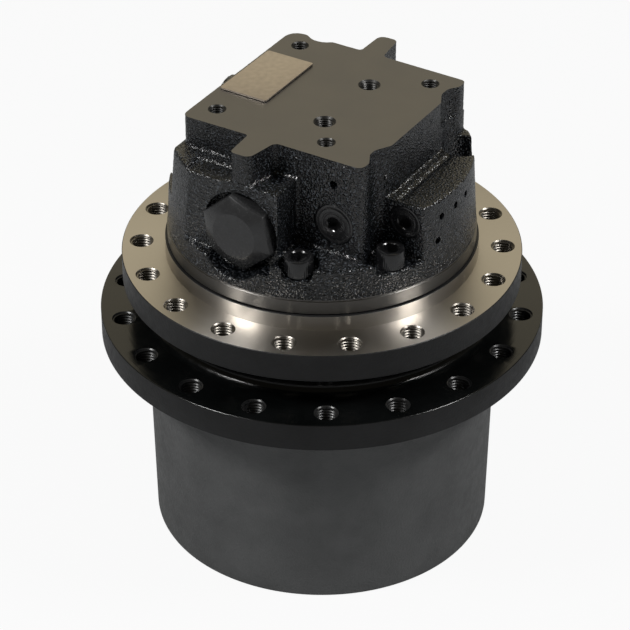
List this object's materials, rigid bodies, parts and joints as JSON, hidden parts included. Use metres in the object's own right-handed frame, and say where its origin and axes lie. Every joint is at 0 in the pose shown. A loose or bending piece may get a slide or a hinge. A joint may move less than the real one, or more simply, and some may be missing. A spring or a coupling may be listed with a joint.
{
  "type": "excavator final drive",
  "caption": "Track travel drive: flanged rotating hub over a two-stage planetary gearbox, a frame flange, and a cast hydraulic motor cover with valve block on top.",
  "frame": {"origin": "centre of the underside, on the hub's axis, where the unit stands on its hub rim", "axes": "+Z along the axis of rotation, from the hub's end cover up to the motor cover's machined top face; +X across the valve block; -Y towards the large counterbalance cap of the picture's near side"},
  "size_m": [0.286, 0.286, 0.3065],
  "materials": {
    "casting": "glossy black paint over sand-cast iron, machined top face",
    "hub_paint": "satin dark grey paint over turned cast iron",
    "flange_steel": "freshly machined face, dark painted rim",
    "bare_plate": "bare aluminium, nothing printed or stamped",
    "black_steel": "matte black",
    "gear_steel": "ground case-hardened steel",
    "bearing_steel": "ground",
    "motor_steel": "machined",
    "spring_steel": "oiled spring wire",
    "bronze": "lapped bronze",
    "friction_lining": "sintered lining on a steel core",
    "seal_rubber": "nitrile rubber"
  },
  "bodies": {
    "frame_side": {"motor_cover": "casting", "nameplate": "bare_plate", "spool_cap_front": "black_steel", "spool_cap_rear": "black_steel", "spool_spring_front": "spring_steel", "spool_spring_rear": "spring_steel", "hex_plug_front": "black_steel", "hex_plug_side": "black_steel", "cover_screw_1": "black_steel", "cover_screw_2": "black_steel", "cover_screw_3": "black_steel", "cover_screw_4": "black_steel", "cover_screw_5": "black_steel", "cover_screw_6": "black_steel", "valve_plate": "bronze", "swash_plate": "motor_steel", "brake_plate_1": "motor_steel", "brake_plate_2": "motor_steel", "shaft_bearing_upper": "bearing_steel", "shaft_bearing_lower": "bearing_steel", "shaft_seal": "seal_rubber", "spindle": "flange_steel", "seal_ring_spindle": "bearing_steel", "oring_spindle": "seal_rubber", "main_bearing_inner_1": "bearing_steel", "main_bearing_inner_2": "bearing_steel", "bearing_nut": "bearing_steel", "planet_pin_2_1": "gear_steel", "planet_pin_2_2": "gear_steel", "planet_pin_2_3": "gear_steel"},
    "hub": {"hub_housing": "hub_paint", "main_bearing_outer_1": "bearing_steel", "main_bearing_outer_2": "bearing_steel", "seal_ring_hub": "bearing_steel", "oring_hub": "seal_rubber", "hub_cover": "black_steel", "cover_snap_ring": "black_steel", "fill_plug": "black_steel", "drain_plug": "black_steel"},
    "input": {"motor_shaft": "gear_steel", "cylinder_block": "motor_steel", "piston_set": "motor_steel", "brake_disc_1": "friction_lining", "brake_disc_2": "friction_lining", "sun_gear_1": "gear_steel"},
    "first_carrier": {"carrier_1": "gear_steel", "sun_gear_2": "gear_steel"},
    "brake_release": {"brake_piston": "motor_steel"},
    "counterbalance": {"counterbalance_spool": "motor_steel"},
    "speed_change": {"speed_spool": "motor_steel"},
    "first_planet_1": {"planet_1_1": "gear_steel"},
    "second_planet_1": {"planet_2_1": "gear_steel"},
    "first_planet_2": {"planet_1_2": "gear_steel"},
    "second_planet_2": {"planet_2_2": "gear_steel"},
    "first_planet_3": {"planet_1_3": "gear_steel"},
    "second_planet_3": {"planet_2_3": "gear_steel"},
    "rollers_1": {"roller_set_1": "bearing_steel"},
    "rollers_2": {"roller_set_2": "bearing_steel"}
  },
  "joints": [
    {"name": "hub_spin", "type": "hinge", "parent": "frame_side", "child": "hub", "pos_m": [0, 0, 0], "axis": [0, 0, 1], "continuous": true},
    {"name": "input_spin", "type": "hinge", "parent": "frame_side", "child": "input", "pos_m": [0, 0, 0], "axis": [0, 0, 1], "continuous": true},
    {"name": "first_carrier_spin", "type": "hinge", "parent": "frame_side", "child": "first_carrier", "pos_m": [0, 0, 0], "axis": [0, 0, 1], "continuous": true},
    {"name": "brake_release_slide", "type": "slide", "parent": "frame_side", "child": "brake_release", "axis": [0, 0, 1], "range_m": [0, 0.002], "stiffness_N_per_m": 20000, "springref_m": -0.004},
    {"name": "counterbalance_slide", "type": "slide", "parent": "frame_side", "child": "counterbalance", "axis": [0, 1, 0], "range_m": [-0.006, 0.006], "stiffness_N_per_m": 4000, "deforming": ["spool_spring_front", "spool_spring_rear"]},
    {"name": "speed_change_slide", "type": "slide", "parent": "frame_side", "child": "speed_change", "axis": [0, 1, 0], "range_m": [-0.008, 0.008]},
    {"name": "first_planet_1_spin", "type": "hinge", "parent": "first_carrier", "child": "first_planet_1", "pos_m": [0.0525, 0, 0], "axis": [0, 0, 1], "continuous": true},
    {"name": "second_planet_1_spin", "type": "hinge", "parent": "frame_side", "child": "second_planet_1", "pos_m": [0.057, 0, 0], "axis": [0, 0, 1], "continuous": true},
    {"name": "first_planet_2_spin", "type": "hinge", "parent": "first_carrier", "child": "first_planet_2", "pos_m": [-0.02625, 0.04547, 0], "axis": [0, 0, 1], "continuous": true},
    {"name": "second_planet_2_spin", "type": "hinge", "parent": "frame_side", "child": "second_planet_2", "pos_m": [-0.0285, 0.04936, 0], "axis": [0, 0, 1], "continuous": true},
    {"name": "first_planet_3_spin", "type": "hinge", "parent": "first_carrier", "child": "first_planet_3", "pos_m": [-0.02625, -0.04547, 0], "axis": [0, 0, 1], "continuous": true},
    {"name": "second_planet_3_spin", "type": "hinge", "parent": "frame_side", "child": "second_planet_3", "pos_m": [-0.0285, -0.04936, 0], "axis": [0, 0, 1], "continuous": true},
    {"name": "rollers_1_spin", "type": "hinge", "parent": "frame_side", "child": "rollers_1", "pos_m": [0, 0, 0], "axis": [0, 0, 1], "continuous": true},
    {"name": "rollers_2_spin", "type": "hinge", "parent": "frame_side", "child": "rollers_2", "pos_m": [0, 0, 0], "axis": [0, 0, 1], "continuous": true}
  ],
  "couplings": [
    {"joint": "input_spin", "follows": "hub_spin", "ratio": -37.333},
    {"joint": "first_carrier_spin", "follows": "hub_spin", "ratio": -4},
    {"joint": "first_planet_1_spin", "follows": "hub_spin", "ratio": 12},
    {"joint": "second_planet_1_spin", "follows": "hub_spin", "ratio": 2.7273},
    {"joint": "first_planet_2_spin", "follows": "hub_spin", "ratio": 12},
    {"joint": "second_planet_2_spin", "follows": "hub_spin", "ratio": 2.7273},
    {"joint": "first_planet_3_spin", "follows": "hub_spin", "ratio": 12},
    {"joint": "second_planet_3_spin", "follows": "hub_spin", "ratio": 2.7273},
    {"joint": "rollers_1_spin", "follows": "hub_spin", "ratio": 0.52765},
    {"joint": "rollers_2_spin", "follows": "hub_spin", "ratio": 0.52765}
  ]
}
